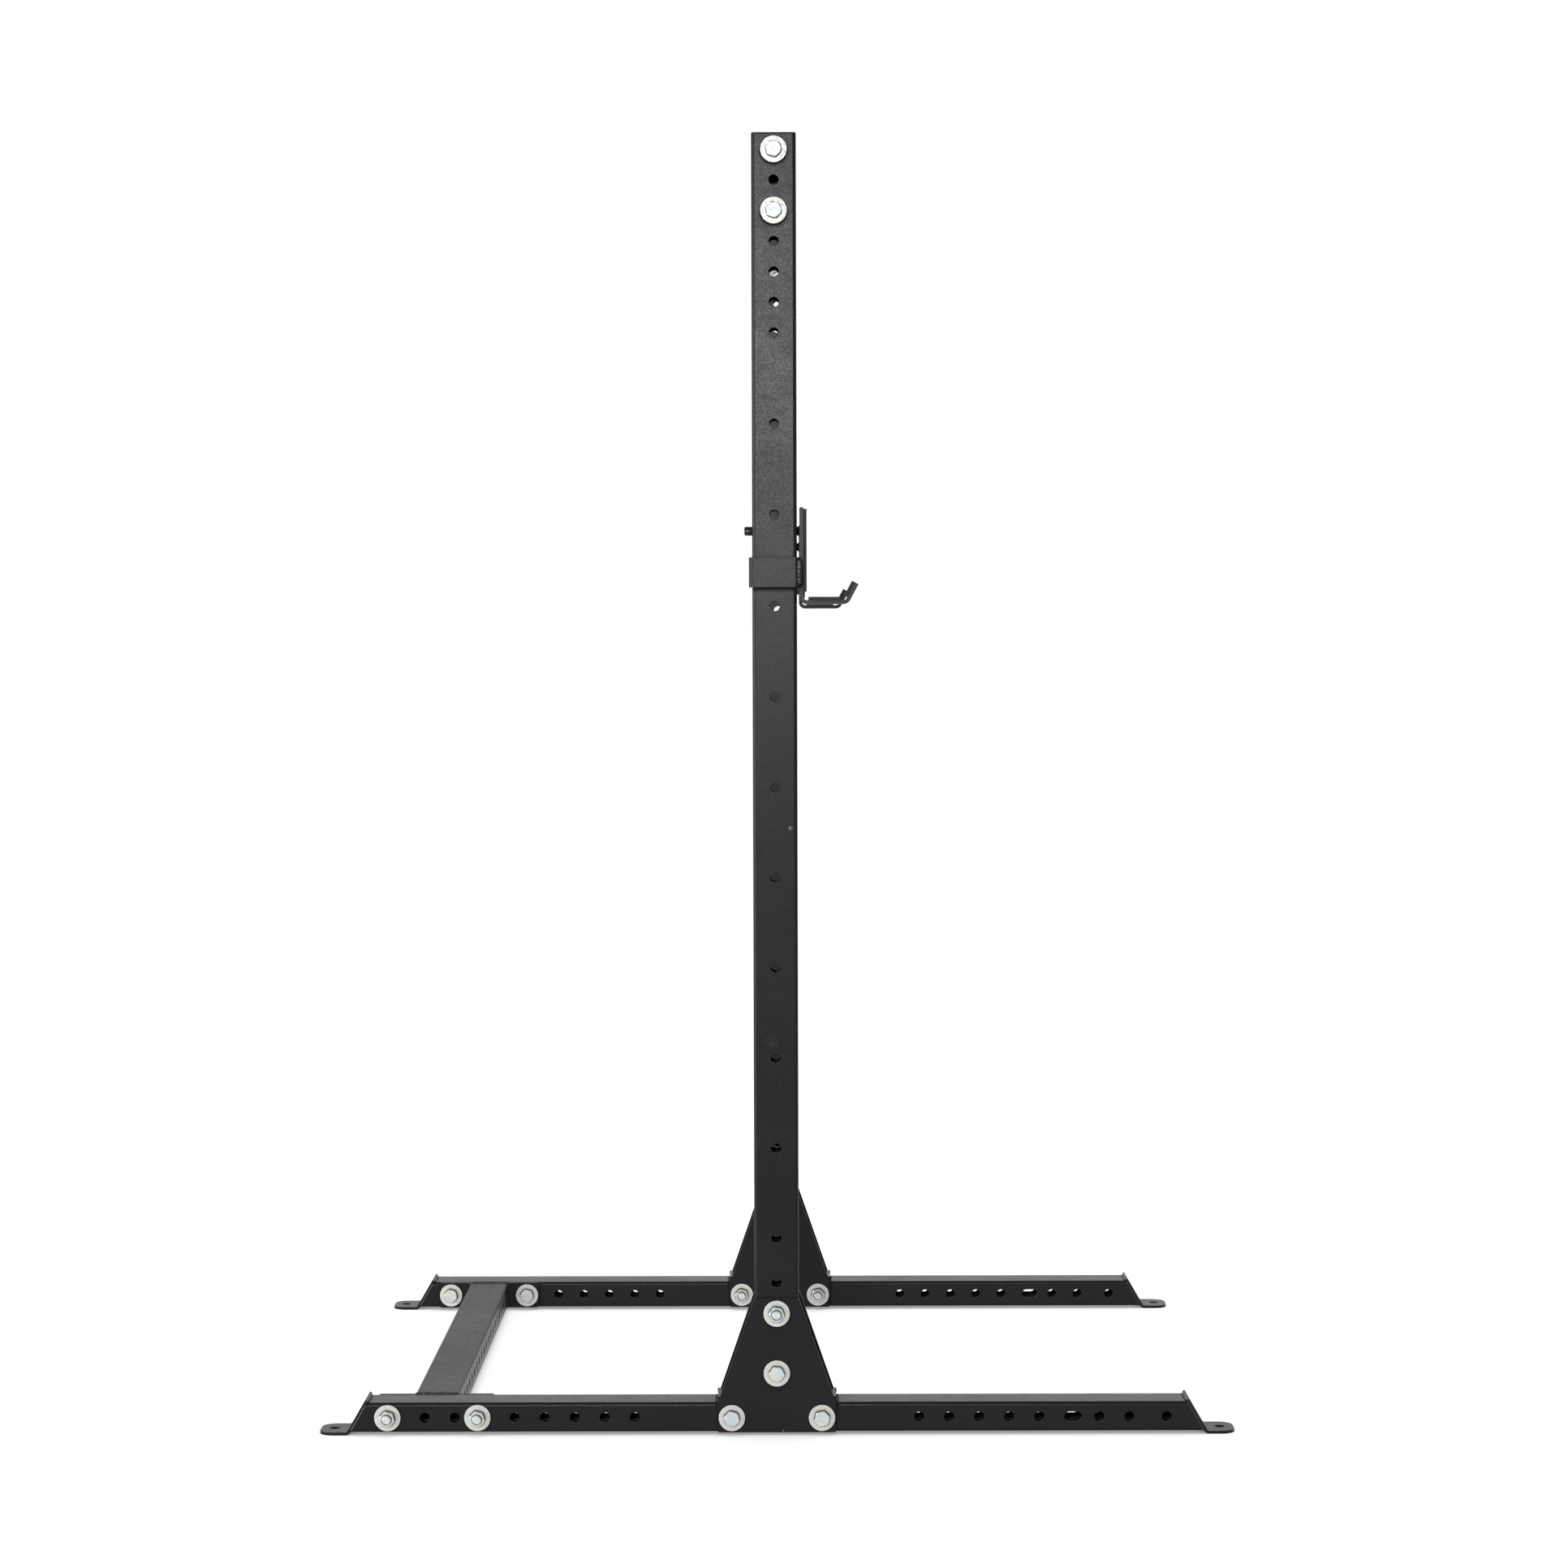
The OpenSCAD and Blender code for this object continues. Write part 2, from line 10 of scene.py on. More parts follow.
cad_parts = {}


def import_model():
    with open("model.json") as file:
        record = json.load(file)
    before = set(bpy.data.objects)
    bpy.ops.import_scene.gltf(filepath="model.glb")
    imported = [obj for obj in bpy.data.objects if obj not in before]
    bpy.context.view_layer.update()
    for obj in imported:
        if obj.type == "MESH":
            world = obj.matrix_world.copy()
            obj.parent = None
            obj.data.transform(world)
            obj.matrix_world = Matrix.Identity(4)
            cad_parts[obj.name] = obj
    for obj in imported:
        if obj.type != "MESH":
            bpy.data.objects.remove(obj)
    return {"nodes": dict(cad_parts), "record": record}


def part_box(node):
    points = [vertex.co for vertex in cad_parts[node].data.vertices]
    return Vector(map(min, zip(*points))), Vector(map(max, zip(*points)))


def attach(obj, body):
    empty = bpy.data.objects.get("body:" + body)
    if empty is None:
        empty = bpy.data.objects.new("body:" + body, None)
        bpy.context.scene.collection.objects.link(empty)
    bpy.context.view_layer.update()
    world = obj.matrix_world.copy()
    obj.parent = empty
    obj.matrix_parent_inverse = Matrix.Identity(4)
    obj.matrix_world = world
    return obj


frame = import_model()
nodes = frame["nodes"]
slots = {part["node"]: part["material_slot"] for part in frame["record"]["subparts"]}
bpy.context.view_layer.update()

MM = 0.001
SAME_POINT = 0.01 * MM
SIDES = (("left", -1), ("right", 1))
ENDS = (("front", 1), ("rear", -1))

# Camera, fitted to the photograph
CAMERA_AT = Vector((0.03485, -6.86085, 1.35718))
CAMERA_PITCH = math.radians(-2.339)
CAMERA_YAW = math.radians(-0.184)
CAMERA_ROLL = math.radians(-0.158)
SENSOR = 36.0
LENS = 85.29
VIEW_END = 200

# Sizes that the details share with the CAD model
TUBE_R = 6 * MM
FOOT_SLOPE = math.radians(60)
THREAD_CORE = 7.9 * MM
THREAD_CREST = 8.3 * MM
THREAD_PITCH = 2 * MM
THREAD_STEPS = 32
BOLT_CHAMFER = 1.5 * MM

# Weld beads: spacing and number of points, ripple, lumps, and the narrowest end of a taper
BEAD_STEP = 1 * MM
BEAD_SIDES = 8
RIPPLE = 3.6 * MM
RIPPLE_DEPTH = 0.12
LUMP = 2.2 * MM
TAPER_LEAST = 0.04
OFF_AXIS = Vector((0.31, 0.53, 0.79))

# Where the beads lie
FOOT_SIDE_SINK = 0.9 * MM
FOOT_TOP_BAND = 1 * MM
COLLAR_BEAD_OUT = 3.4 * MM
COLLAR_BEAD_SHORT = 3 * MM

# Noise: scale, detail and roughness
PEEL = (850.0, 1.0)
GRAIN = (300.0, 1.0)
CLOUD = (7.0, 4.0)
SCUFFS = (22.0, 5.0, 0.7)
SPECKS = (110.0, 3.0)
RUBBED = (420.0, 2.0)
ZINC_SPOTS = (300.0, 3.0, 0.6)
ZINC_TINT = (70.0, 2.0)
PLASTIC_GRAIN = (700.0, 3.0)
PLASTIC_CLOUD = (30.0, 3.0)

# Bands of noise values that a smooth step spreads over
MIDDLE = (0.35, 0.65)
WIDE = (0.3, 0.7)
DUST_BAND = (0.35, 0.75)
SPECK_BAND = (0.73, 0.76)
RUBBED_BAND = (0.42, 0.6)
SCUFF_BAND = (0.4, 0.7)
TINT_BAND = (0.38, 0.62)
DULL_BAND = (0.5, 0.75)

# Paint
SCUFF_STRETCH = (1, 2.4, 2.4)
BLACK = (0.0050, 0.0043, 0.0052, 1)
GREYER = (0.0092, 0.0080, 0.0092, 1)
DUST = (0.0130, 0.0112, 0.0125, 1)
SPECK = (0.002, 0.002, 0.002, 1)
CHIPPED = (0.30, 0.27, 0.25, 1)
PAINT_TINT = (1, 0.955, 0.98, 1)
DUST_MOST = 0.3
WORN_CORE = 0.4

# What each layer adds to the paint's roughness
CLOUD_ROUGH = 0.03
PEEL_ROUGH = (-0.035, 0.035)
SCUFF_ROUGH = (-0.005, 0.025)
GRAIN_ROUGH = (-0.032, 0.032)

# Chips and smears in the paint: place in mm, radius in mm, strength
WORN = (
    ((25.4, -622.3, 1027.7), 4.5, 0.9),
    ((10.6, -627.3, 8.0), 2.0, 0.8),
    ((-7.0, -622.3, 666.0), 14.0, 0.05),
    ((83.0, -627.3, 9.0), 1.6, 0.4),
)

# Zinc and plastic
ZINC_DULL = (0.34, 0.35, 0.35, 1)
# The next two colours are painted shade: zinc darkened near other parts and in tight corners, where
# light is blocked
ZINC_PAINTED_SHADE = (0.08, 0.08, 0.085, 1)
ZINC_PAINTED_CORNER_SHADE = (0.01, 0.01, 0.012, 1)
ZINC_GRAZING_TINT = (0.35, 0.35, 0.38, 1)
ZINC_DULL_MOST = 0.5
ZINC_ROUGH = (0.46, 0.59)
PLASTIC_LEVEL = 0.25
PLASTIC_CLOUD_ROUGH = 0.12

# Light: the world's strength on surfaces and, in gloss, on the camera's side
AMBIENT = 0.55
FRONT_GLOSS = 0.35
BACKDROP_BAND = (0.8, 0.98)

# Floor: its paint, what of it the camera sees, and where it turns into the background
FLOOR_RADIUS = 60.0
FLOOR_DROP = 0.1 * MM
FLOOR_PAINT = (0.6, 0.6, 0.6, 1)
FLOOR_LIT = (0.54, 0.54, 0.54, 1)
FLOOR_LIFT = 0.56
FLOOR_FADE = (1.2, 3.0)
# Painted shadow on the floor from occlusion: how far it reaches and how strongly it darkens
SHADOW_REACH = 14 * MM
SHADOW_POWER = 0.3

WHITE = (1, 1, 1, 1)
PAINTED_SHADOW_BLACK = (0, 0, 0, 1)


# Meshes

def add_object(name, data):
    """Links a mesh, camera or lamp into the scene."""
    obj = bpy.data.objects.new(name, data)
    bpy.context.scene.collection.objects.link(obj)
    return obj


def piece(name, mesh, body, material, smooth=True):
    """Adds a mesh as a piece of the object that rides on a body."""
    obj = add_object(name, mesh)
    mesh.materials.append(material)
    mesh.polygons.foreach_set("use_smooth", [smooth] * len(mesh.polygons))
    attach(obj, body)


def solids(node):
    """Boxes (low, high) of the separate solids in a CAD node."""
    copy = bmesh.new()
    copy.from_mesh(nodes[node].data)
    bmesh.ops.remove_doubles(copy, verts=copy.verts, dist=SAME_POINT)
    boxes, left = [], set(copy.verts)
    while left:
        todo, solid = [left.pop()], []
        while todo:
            vertex = todo.pop()
            solid.append(vertex.co.copy())
            linked = {edge.other_vert(vertex) for edge in vertex.link_edges} & left
            left -= linked
            todo += linked
        boxes.append((Vector(map(min, *solid)), Vector(map(max, *solid))))
    copy.free()
    return boxes


def arc(centre, radius, start, end, steps=5):
    """Points (u, v) of an arc between two angles in degrees."""
    return [(centre[0] + radius * math.cos(a), centre[1] + radius * math.sin(a))
            for a in (math.radians(start + (end - start) * i / steps) for i in range(steps + 1))]


def tube_outline(w, h, radius=TUBE_R):
    """Outline (u, v) of a tube, from its lower right corner round by the top to its lower left."""
    u, v = w / 2 - radius, h / 2 - radius
    return (arc((u, -v), radius, -90, 0) + arc((u, v), radius, 0, 90)
            + arc((-u, v), radius, 90, 180) + arc((-u, -v), radius, 180, 270))


def resample(points, step, closed):
    """Even points along a polyline, and its length."""
    points = [Vector(p) for p in points] + ([Vector(points[0])] if closed else [])
    lengths = [0.0]
    for a, b in zip(points, points[1:]):
        lengths.append(lengths[-1] + (b - a).length)
    count = max(4, round(lengths[-1] / step))
    made, k = [], 0
    for i in range(count if closed else count + 1):
        at = lengths[-1] * i / count
        while k < len(points) - 2 and lengths[k + 1] < at:
            k += 1
        share = (at - lengths[k]) / max(lengths[k + 1] - lengths[k], 1e-9)
        made.append(points[k].lerp(points[k + 1], share))
    return made, lengths[-1]


def rings_mesh(name, rings, closed):
    """Mesh of a tube through rings of as many points each."""
    n, sides = len(rings), len(rings[0])
    faces = []
    for i in range(n if closed else n - 1):
        here, there = i * sides, (i + 1) % n * sides
        for j in range(sides):
            k = (j + 1) % sides
            faces.append((here + j, here + k, there + k, there + j))
    if not closed:
        faces += [tuple(range(sides))[::-1], tuple(range((n - 1) * sides, n * sides))]
    mesh = bpy.data.meshes.new(name)
    mesh.from_pydata([p for ring in rings for p in ring], [], faces)
    mesh.update()
    return mesh


def bead_ring(place, normal, across, radius, size, uneven):
    """Lumpy ring of points around one place on a bead's line."""
    ring = []
    for j in range(BEAD_SIDES):
        turn = 2 * math.pi * j / BEAD_SIDES
        out = normal * math.cos(turn) + across * math.sin(turn)
        ring.append(place + out * size * (1 + uneven * noise.noise((place + out * radius) / LUMP)))
    return ring


def bead(name, points, radius, body, closed=False, uneven=0.22):
    """Weld bead along a seam: rippled, a little uneven and, where open, tapered at both ends."""
    line, length = resample(points, BEAD_STEP, closed)
    rings, normal = [], OFF_AXIS
    for i, place in enumerate(line):
        after = line[(i + 1) % len(line)] if closed else line[min(i + 1, len(line) - 1)]
        before = line[i - 1] if closed else line[max(i - 1, 0)]
        along = (after - before).normalized()
        normal = (normal - along * normal.dot(along)).normalized()
        at = length * i / len(line)
        wave = abs(math.cos(math.pi * at / RIPPLE))
        size = radius * (1 - RIPPLE_DEPTH + RIPPLE_DEPTH * wave)
        if not closed:
            size *= math.sqrt(max(TAPER_LEAST, min(1.0, at / radius, (length - at) / radius)))
        rings.append(bead_ring(place, normal, along.cross(normal), radius, size, uneven))
    piece(name, rings_mesh(name, rings, closed), body, MATERIALS["weld"])


# Materials

def shader(tree, kind, settings=None, **inputs):
    """Adds a shader node; inputs go by name with _ for spaces, or as i0, i1 ... by place."""
    made = tree.nodes.new("ShaderNode" + kind)
    for name, value in (settings or {}).items():
        setattr(made, name, value)
    for key, value in inputs.items():
        by_place = key[0] == "i" and key[1:].isdigit()
        socket = made.inputs[int(key[1:])] if by_place else made.inputs[key.replace("_", " ")]
        if isinstance(value, bpy.types.NodeSocket):
            tree.links.new(value, socket)
        else:
            socket.default_value = value
    return made


def spread(tree, value, low, high, out_low=0.0, out_high=1.0):
    """Smooth step of value from low..high to out_low..out_high."""
    return shader(tree, "MapRange", {"interpolation_type": "SMOOTHSTEP"}, Value=value,
                  From_Min=low, From_Max=high, To_Min=out_low, To_Max=out_high).outputs[0]


def mix_colour(tree, factor, a, b):
    return shader(tree, "Mix", {"data_type": "RGBA"}, i0=factor, i6=a, i7=b).outputs[2]


def maths(tree, operation, a, b=0.0):
    return shader(tree, "Math", {"operation": operation}, i0=a, i1=b).outputs[0]


def vector_maths(tree, operation, output, *inputs):
    by_place = {f"i{i}": value for i, value in enumerate(inputs)}
    return shader(tree, "VectorMath", {"operation": operation}, **by_place).outputs[output]


def noise_of(tree, place, scale, detail=2.0, roughness=0.5):
    return shader(tree, "TexNoise", Vector=place, Scale=scale, Detail=detail,
                  Roughness=roughness).outputs[0]


def new_material(name):
    """A material, its tree, its Principled shader and the object's coordinates."""
    made = bpy.data.materials.new(name)
    made.use_nodes = True
    tree = made.node_tree
    tree.nodes.clear()
    place = shader(tree, "TexCoord").outputs["Object"]
    surface = shader(tree, "BsdfPrincipled")
    shader(tree, "OutputMaterial", Surface=surface.outputs[0])
    return made, tree, place, surface


def link(tree, value, surface, socket):
    tree.links.new(value, surface.inputs[socket])


def finish_surface(tree, surface, height, strength, depth, edge):
    """Bump from a height, over sharp edges that are rounded by a small radius."""
    soft = shader(tree, "Bevel", {"samples": 4}, Radius=edge).outputs[0]
    bump = shader(tree, "Bump", Strength=strength, Distance=depth, Height=height, Normal=soft)
    link(tree, bump.outputs[0], surface, "Normal")


def sheltered(tree, distance, tilt, closed, free):
    """1 in the open and 0 in corners and under ledges, by how much of the space above is free."""
    normal = shader(tree, "NewGeometry").outputs["Normal"]
    leaning = vector_maths(tree, "ADD", 0, normal, (0, 0, tilt))
    leaning = vector_maths(tree, "NORMALIZE", 0, leaning)
    space = shader(tree, "AmbientOcclusion", {"samples": 8}, Distance=distance, Normal=leaning)
    return spread(tree, space.outputs["AO"], closed, free)


def worn_spots(tree, place):
    """Strength of the chips and smears."""
    rubbed = spread(tree, noise_of(tree, place, *RUBBED), *RUBBED_BAND)
    worn = 0.0
    for at, radius, strength in WORN:
        at = [value * MM for value in at]
        away = vector_maths(tree, "DISTANCE", "Value", place, at)
        spot = spread(tree, away, radius * MM, WORN_CORE * radius * MM, 0.0, strength)
        worn = maths(tree, "MAXIMUM", worn, maths(tree, "MULTIPLY", spot, rubbed))
    return worn


def paint_colour(tree, place, stretched, peel, cloud):
    """Black with a trace of dust, dark specks and the worn spots."""
    colour = mix_colour(tree, spread(tree, peel, *MIDDLE), BLACK, GREYER)
    dust = spread(tree, cloud, *DUST_BAND, 0.0, DUST_MOST)
    colour = mix_colour(tree, dust, colour, DUST)
    specks = spread(tree, noise_of(tree, stretched, *SPECKS), *SPECK_BAND)
    colour = mix_colour(tree, specks, colour, SPECK)
    return mix_colour(tree, worn_spots(tree, place), colour, CHIPPED)


def paint_roughness(tree, place, stretched, peel, cloud, rough):
    """Roughness with cloudiness, peel, scuffs and grain, and dull corners."""
    made = spread(tree, cloud, *WIDE, rough, rough + CLOUD_ROUGH)
    scuffs = noise_of(tree, stretched, *SCUFFS)
    grain = noise_of(tree, place, *GRAIN)
    for layer, band, added in ((peel, MIDDLE, PEEL_ROUGH), (scuffs, SCUFF_BAND, SCUFF_ROUGH),
                               (grain, WIDE, GRAIN_ROUGH)):
        made = maths(tree, "ADD", made, spread(tree, layer, *band, *added))
    free = sheltered(tree, distance=9 * MM, tilt=0.7, closed=0.64, free=0.9)
    dull = spread(tree, free, 0.0, 1.0, out_low=1.0, out_high=0.0)
    return maths(tree, "MAXIMUM", made, dull)


def powder_coat(name, rough, level):
    """Black powder coat with orange peel."""
    made, tree, place, surface = new_material(name)
    peel = noise_of(tree, place, *PEEL)
    cloud = noise_of(tree, place, *CLOUD)
    stretched = vector_maths(tree, "MULTIPLY", 0, place, SCUFF_STRETCH)
    link(tree, paint_colour(tree, place, stretched, peel, cloud), surface, "Base Color")
    roughness = paint_roughness(tree, place, stretched, peel, cloud, rough)
    link(tree, roughness, surface, "Roughness")
    surface.inputs["Specular IOR Level"].default_value = level
    surface.inputs["Specular Tint"].default_value = PAINT_TINT
    finish_surface(tree, surface, peel, strength=0.3, depth=0.3 * MM, edge=0.8 * MM)
    return made


def zinc(name, cool, warm, edge):
    """Bright zinc plate: mottled between two greys, with painted shade near other parts and deeper
    painted shade in its corners.
    """
    made, tree, place, surface = new_material(name)
    spots = noise_of(tree, place, *ZINC_SPOTS)
    tint = noise_of(tree, place, *ZINC_TINT)
    colour = mix_colour(tree, spread(tree, tint, *TINT_BAND), cool, warm)
    dull = spread(tree, spots, *DULL_BAND, 0.0, ZINC_DULL_MOST)
    colour = mix_colour(tree, dull, colour, ZINC_DULL)
    # Painted shade: the colour darkens where nearby parts block the light
    near = sheltered(tree, distance=7 * MM, tilt=0.2, closed=0.1, free=0.85)
    colour = mix_colour(tree, near, ZINC_PAINTED_SHADE, colour)
    # Painted shade: darker still in tight corners, such as around the hex heads
    corner = sheltered(tree, distance=3 * MM, tilt=0.0, closed=0.52, free=0.95)
    colour = mix_colour(tree, corner, ZINC_PAINTED_CORNER_SHADE, colour)
    link(tree, colour, surface, "Base Color")
    surface.inputs["Metallic"].default_value = 1.0
    surface.inputs["Specular Tint"].default_value = ZINC_GRAZING_TINT
    link(tree, spread(tree, spots, *WIDE, *ZINC_ROUGH), surface, "Roughness")
    finish_surface(tree, surface, spots, strength=0.15, depth=0.5 * MM, edge=edge)
    return made


def plastic(name, dark, light, rough):
    """Black plastic with a fine grain and a faint cloudiness."""
    made, tree, place, surface = new_material(name)
    grain = noise_of(tree, place, *PLASTIC_GRAIN)
    cloud = noise_of(tree, place, *PLASTIC_CLOUD)
    link(tree, mix_colour(tree, spread(tree, cloud, *WIDE), dark, light), surface, "Base Color")
    roughness = spread(tree, cloud, *WIDE, rough, rough + PLASTIC_CLOUD_ROUGH)
    link(tree, roughness, surface, "Roughness")
    surface.inputs["Specular IOR Level"].default_value = PLASTIC_LEVEL
    finish_surface(tree, surface, grain, strength=0.2, depth=0.3 * MM, edge=0.6 * MM)
    return made


MATERIALS = {
    "powder_coat": powder_coat("powder_coat", rough=0.30, level=0.18),
    "dull_coat": powder_coat("dull_coat", rough=0.37, level=0.18),
    "weld": powder_coat("weld", rough=0.22, level=0.6),
    "pin": powder_coat("pin", rough=0.16, level=0.35),
    "zinc": zinc("zinc", cool=(0.42, 0.46, 0.49, 1), warm=(0.50, 0.50, 0.475, 1), edge=0.4 * MM),
    "washer_zinc": zinc("washer_zinc", cool=(0.45, 0.465, 0.46, 1), warm=(0.49, 0.475, 0.43, 1),
                        edge=0.9 * MM),
    "cap_plastic": plastic("cap_plastic", dark=(0.010, 0.010, 0.011, 1),
                           light=(0.016, 0.016, 0.017, 1), rough=0.40),
    "liner_plastic": plastic("liner_plastic", dark=(0.007, 0.007, 0.007, 1),
                             light=(0.013, 0.012, 0.013, 1), rough=0.5),
}
OWN_FINISH = {"washers": "washer_zinc", "pin": "pin", "crossmember": "dull_coat"}


def dress_nodes():
    """Gives every CAD node the material of its slot, or its own where its name asks for it."""
    for name, obj in nodes.items():
        finish = [own for word, own in OWN_FINISH.items() if word in name] or [slots[name]]
        obj.data.materials.clear()
        obj.data.materials.append(MATERIALS[finish[0]])


# Details

def foot_welds():
    """Where a foot plate closes the rail's cut end: beads down both sides, a fillet on top."""
    for side, _ in SIDES:
        low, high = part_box(f"base_rail_{side}")
        outline = tube_outline(high.y - low.y - 2 * FOOT_SIDE_SINK, high.z - low.z)
        centre = (low + high) / 2
        for end, sign in ENDS:
            path = []
            for u, v in outline:
                back = (centre.z + v - low.z) / math.tan(FOOT_SLOPE)
                path.append((sign * (high.x - back), centre.y + u, centre.z + v))
            bead(f"weld_{end}_foot_{side}", path, radius=1.6 * MM, body="stand")
            top = [p for p in path if p[2] > high.z - FOOT_TOP_BAND]
            bead(f"weld_{end}_foot_top_{side}", top, radius=3 * MM, body="stand", uneven=0.3)


def crossmember_welds():
    """A bead around the rear crossmember's ends, and over and under those of the top one."""
    for side, sign in SIDES:
        low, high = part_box("rear_crossmember")
        centre = (low + high) / 2
        y = high.y if sign > 0 else low.y
        outline = tube_outline(high.x - low.x, high.z - low.z)
        path = [(centre.x + u, y, centre.z + v) for u, v in outline]
        name = f"weld_rear_crossmember_{side}"
        bead(name, path, radius=2.5 * MM, body="stand", closed=True)
        low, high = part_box("top_crossmember")
        y = high.y if sign > 0 else low.y
        for edge, z in (("upper", high.z), ("lower", low.z)):
            path = [(low.x + TUBE_R, y, z), (high.x - TUBE_R, y, z)]
            name = f"weld_top_crossmember_{edge}_{side}"
            bead(name, path, radius=3 * MM, body="stand")


def gusset_welds():
    """Beads between the base plate's ends and the gusset plates."""
    for side, _ in SIDES:
        low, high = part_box(f"gusset_base_plate_{side}")
        for face, y in (("a", low.y), ("b", high.y)):
            for end, sign in ENDS:
                path = [(sign * high.x, y, low.z), (sign * high.x, y, high.z)]
                name = f"weld_gusset_{end}_{side}_{face}"
                bead(name, path, radius=1.8 * MM, body="stand", uneven=0.4)


def j_cup_welds():
    """A bead down the collar beside the hook plate, and one around the pin behind the plate."""
    for side, sign in SIDES:
        low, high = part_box(f"j_cup_collar_{side}")
        hook_low, hook_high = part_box(f"j_cup_hook_{side}")
        y = hook_high.y if sign > 0 else hook_low.y
        corner = Vector((hook_low.x, y + sign * COLLAR_BEAD_OUT, 0))
        path = [corner + Vector((0, 0, low.z + COLLAR_BEAD_SHORT)),
                corner + Vector((0, 0, high.z - COLLAR_BEAD_SHORT))]
        cup = f"{side}_j_cup"
        bead(f"weld_collar_{side}", path, radius=4.8 * MM, body=cup, uneven=0.4)
        pin_low, pin_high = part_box(f"j_cup_pin_{side}")
        centre, radius = (pin_low + pin_high) / 2, (pin_high.z - pin_low.z) / 2
        ring = arc((0, 0), radius, start=0, end=350, steps=35)
        path = [(hook_low.x, centre.y + u, centre.z + v) for u, v in ring]
        bead(f"weld_pin_{side}", path, radius=2 * MM, body=cup, closed=True)


def thread(name, start, end):
    """Helical ridge around a bolt's end, along Y from start to end."""
    way = 1 if end.y > start.y else -1
    steps = round(THREAD_STEPS * abs(end.y - start.y) / THREAD_PITCH)
    rings = []
    for i in range(-THREAD_STEPS // 2, steps + 1):
        turn = 2 * math.pi * i / THREAD_STEPS
        ease = min(1.0, (steps - i) / (THREAD_STEPS / 4))
        crest = THREAD_CORE + (THREAD_CREST - THREAD_CORE) * ease
        along = start.y + way * THREAD_PITCH * i / THREAD_STEPS
        profile = ((THREAD_CORE, -THREAD_PITCH / 2), (crest, 0), (THREAD_CORE, THREAD_PITCH / 2))
        rings.append([(start.x + r * math.cos(turn), along + shift, start.z + r * math.sin(turn))
                      for r, shift in profile])
    mesh = rings_mesh(name, rings, closed=False)
    piece(name, mesh, "stand", MATERIALS["zinc"], smooth=False)


def bolt_threads(kind, side):
    """The threads that show beyond the nuts of one group of bolts."""
    bolts = solids(f"{kind}_bolts_{side}")
    nuts = sorted(solids(f"{kind}_nuts_{side}"), key=lambda box: box[0][:])
    for i, (low, high) in enumerate(nuts, 1):
        centre = (low + high) / 2
        bolt_low, bolt_high = min(
            bolts, key=lambda box: ((box[0] + box[1]) / 2 - centre).xz.length)
        outward = centre.y > (bolt_low.y + bolt_high.y) / 2
        start = high.y if outward else low.y
        end = bolt_high.y - BOLT_CHAMFER if outward else bolt_low.y + BOLT_CHAMFER
        thread(f"thread_{kind}_{side}_{i}", Vector((centre.x, start, centre.z)),
               Vector((centre.x, end, centre.z)))


# Stage

def camera():
    """Camera at the photograph's viewing angle."""
    level_ahead = math.cos(CAMERA_PITCH)
    forward = Vector((math.sin(CAMERA_YAW) * level_ahead, math.cos(CAMERA_YAW) * level_ahead,
                      math.sin(CAMERA_PITCH)))
    level = Vector((math.cos(CAMERA_YAW), -math.sin(CAMERA_YAW), 0))
    upward = level.cross(forward)
    right = math.cos(CAMERA_ROLL) * level + math.sin(CAMERA_ROLL) * upward
    up = math.cos(CAMERA_ROLL) * upward - math.sin(CAMERA_ROLL) * level
    data = bpy.data.cameras.new("camera")
    data.sensor_width = SENSOR
    data.lens = LENS
    data.clip_end = VIEW_END
    obj = add_object("camera", data)
    turned = Matrix((right, up, -forward)).transposed().to_4x4()
    obj.matrix_world = Matrix.Translation(CAMERA_AT) @ turned
    bpy.context.scene.camera = obj


def looks_through(tree, path):
    """1 for the rays that look at the background from the camera or through glass."""
    return maths(tree, "MAXIMUM", path.outputs["Is Camera Ray"],
                 path.outputs["Is Transmission Ray"])


def world():
    """White backdrop. The room on the camera's side of the stand is dimmer in gloss."""
    made = bpy.data.worlds.new("studio")
    bpy.context.scene.world = made
    made.use_nodes = True
    tree = made.node_tree
    tree.nodes.clear()
    path = shader(tree, "LightPath")
    direction = shader(tree, "TexCoord").outputs["Generated"]
    behind = shader(tree, "SeparateXYZ", Vector=direction).outputs["Y"]
    gloss = spread(tree, behind, *BACKDROP_BAND, FRONT_GLOSS, 1.0)
    strength = shader(tree, "MapRange", Value=path.outputs["Is Glossy Ray"], To_Min=AMBIENT,
                      To_Max=gloss).outputs[0]
    strength = shader(tree, "MapRange", Value=looks_through(tree, path), To_Min=strength,
                      To_Max=1.0).outputs[0]
    back = shader(tree, "Background", Color=WHITE, Strength=strength)
    shader(tree, "OutputWorld", Surface=back.outputs[0])


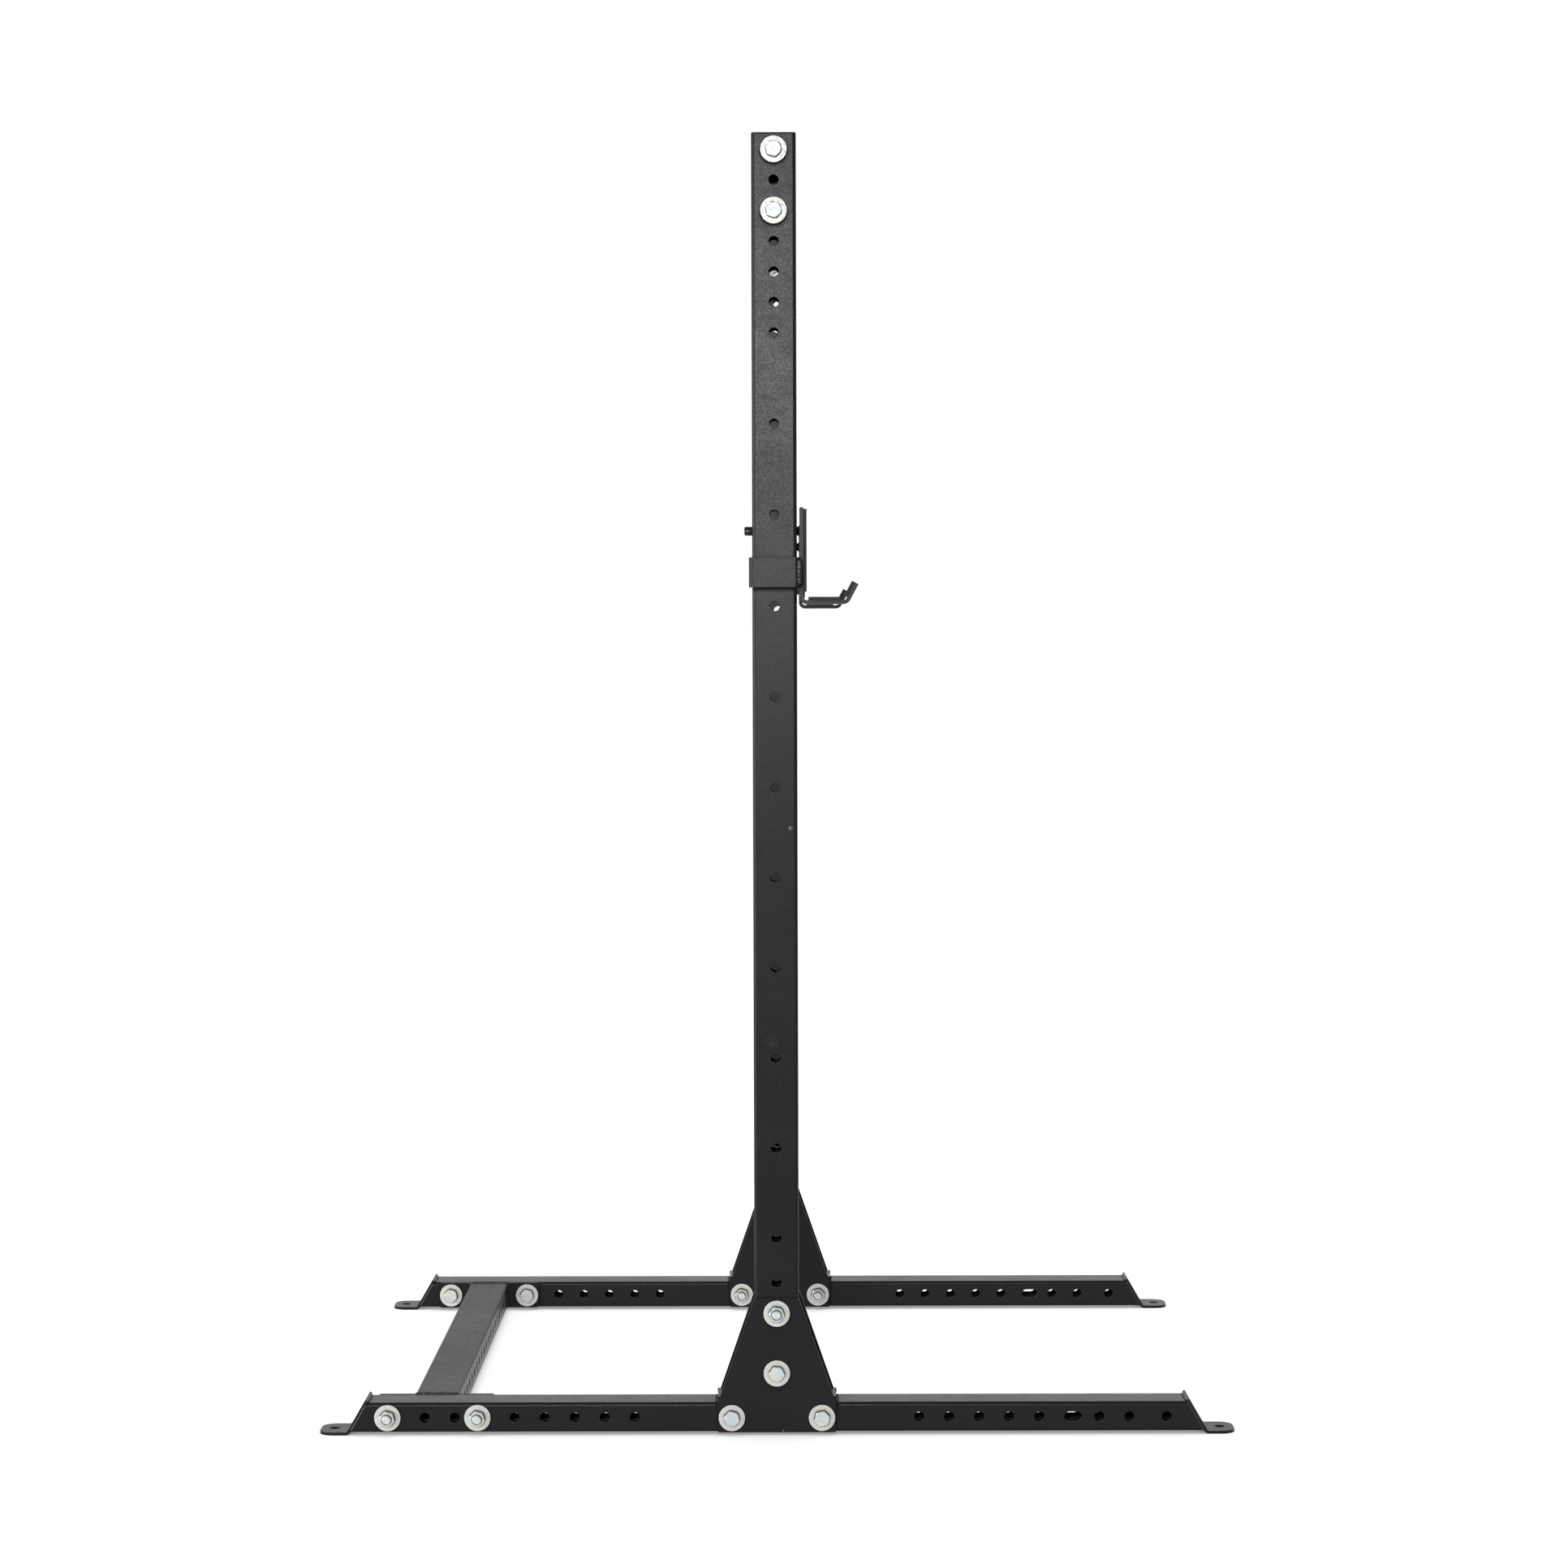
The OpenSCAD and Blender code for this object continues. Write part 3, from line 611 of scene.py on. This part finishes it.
def floor_material():
    """Grey paint for the light; white for the rays that look at it, with a soft shadow that is
    partly from the lamps and partly painted from occlusion near the stand.
    """
    made = bpy.data.materials.new("floor")
    made.use_nodes = True
    tree = made.node_tree
    tree.nodes.clear()
    place = shader(tree, "TexCoord").outputs["Object"]
    away = vector_maths(tree, "LENGTH", "Value", place)
    # Painted shadow: occlusion darkens the floor's seen colour and its glow near the stand, on top
    # of the lamps' real shadow
    open_sky = shader(tree, "AmbientOcclusion", {"samples": 16}, Distance=SHADOW_REACH)
    open_sky = maths(tree, "POWER", open_sky.outputs["AO"], SHADOW_POWER)
    paint = shader(tree, "BsdfDiffuse", Color=FLOOR_PAINT)
    shaded = shader(tree, "BsdfDiffuse", Color=mix_colour(tree, open_sky, PAINTED_SHADOW_BLACK, FLOOR_LIT))
    strength = maths(tree, "MULTIPLY", open_sky, FLOOR_LIFT)
    lift = shader(tree, "Emission", Color=WHITE, Strength=strength)
    near = shader(tree, "AddShader", i0=shaded.outputs[0], i1=lift.outputs[0])
    far = shader(tree, "Emission", Color=WHITE, Strength=1.0)
    fade = spread(tree, away, *FLOOR_FADE)
    shown = shader(tree, "MixShader", i0=fade, i1=near.outputs[0], i2=far.outputs[0])
    path = shader(tree, "LightPath")
    seen = maths(tree, "MAXIMUM", looks_through(tree, path), path.outputs["Is Glossy Ray"])
    both = shader(tree, "MixShader", i0=seen, i1=paint.outputs[0], i2=shown.outputs[0])
    shader(tree, "OutputMaterial", Surface=both.outputs[0])
    return made


def floor():
    """Floor that keeps the shadow near the stand, partly from the lamps and partly painted from
    occlusion, and turns into the background further out.
    """
    mesh = bpy.data.meshes.new("floor")
    builder = bmesh.new()
    bmesh.ops.create_circle(builder, cap_ends=True, segments=96, radius=FLOOR_RADIUS)
    builder.to_mesh(mesh)
    builder.free()
    obj = add_object("floor", mesh)
    obj.location.z = -FLOOR_DROP
    mesh.materials.append(floor_material())


def softbox(name, at, aim, size, power, glossy=True, diffuse=True):
    """Rectangular lamp that can be left out of gloss or out of diffuse light."""
    data = bpy.data.lights.new(name, "AREA")
    data.shape = "RECTANGLE"
    data.size, data.size_y = size
    data.energy = power
    obj = add_object(name, data)
    facing = (Vector(aim) - Vector(at)).to_track_quat("-Z", "Y").to_matrix().to_4x4()
    obj.matrix_world = Matrix.Translation(at) @ facing
    obj.visible_glossy = glossy
    obj.visible_diffuse = diffuse


dress_nodes()
foot_welds()
crossmember_welds()
gusset_welds()
j_cup_welds()
for kind in ("gusset", "rear", "top"):
    for side, _ in SIDES:
        bolt_threads(kind, side)

camera()
world()
floor()
softbox("key", at=(-0.6, -8.0, 2.46), aim=(0, 0, 1.6), size=(1.4, 0.5), power=262)
softbox("top", at=(0.3, 0.5, 5.0), aim=(0, 0, 0), size=(4.0, 4.0), power=120, glossy=False)
softbox("left", at=(-4.6, -3.0, 1.4), aim=(0, -0.6, 1.2), size=(5.0, 2.8), power=340,
        diffuse=False)

bpy.context.scene.view_settings.view_transform = "Standard"
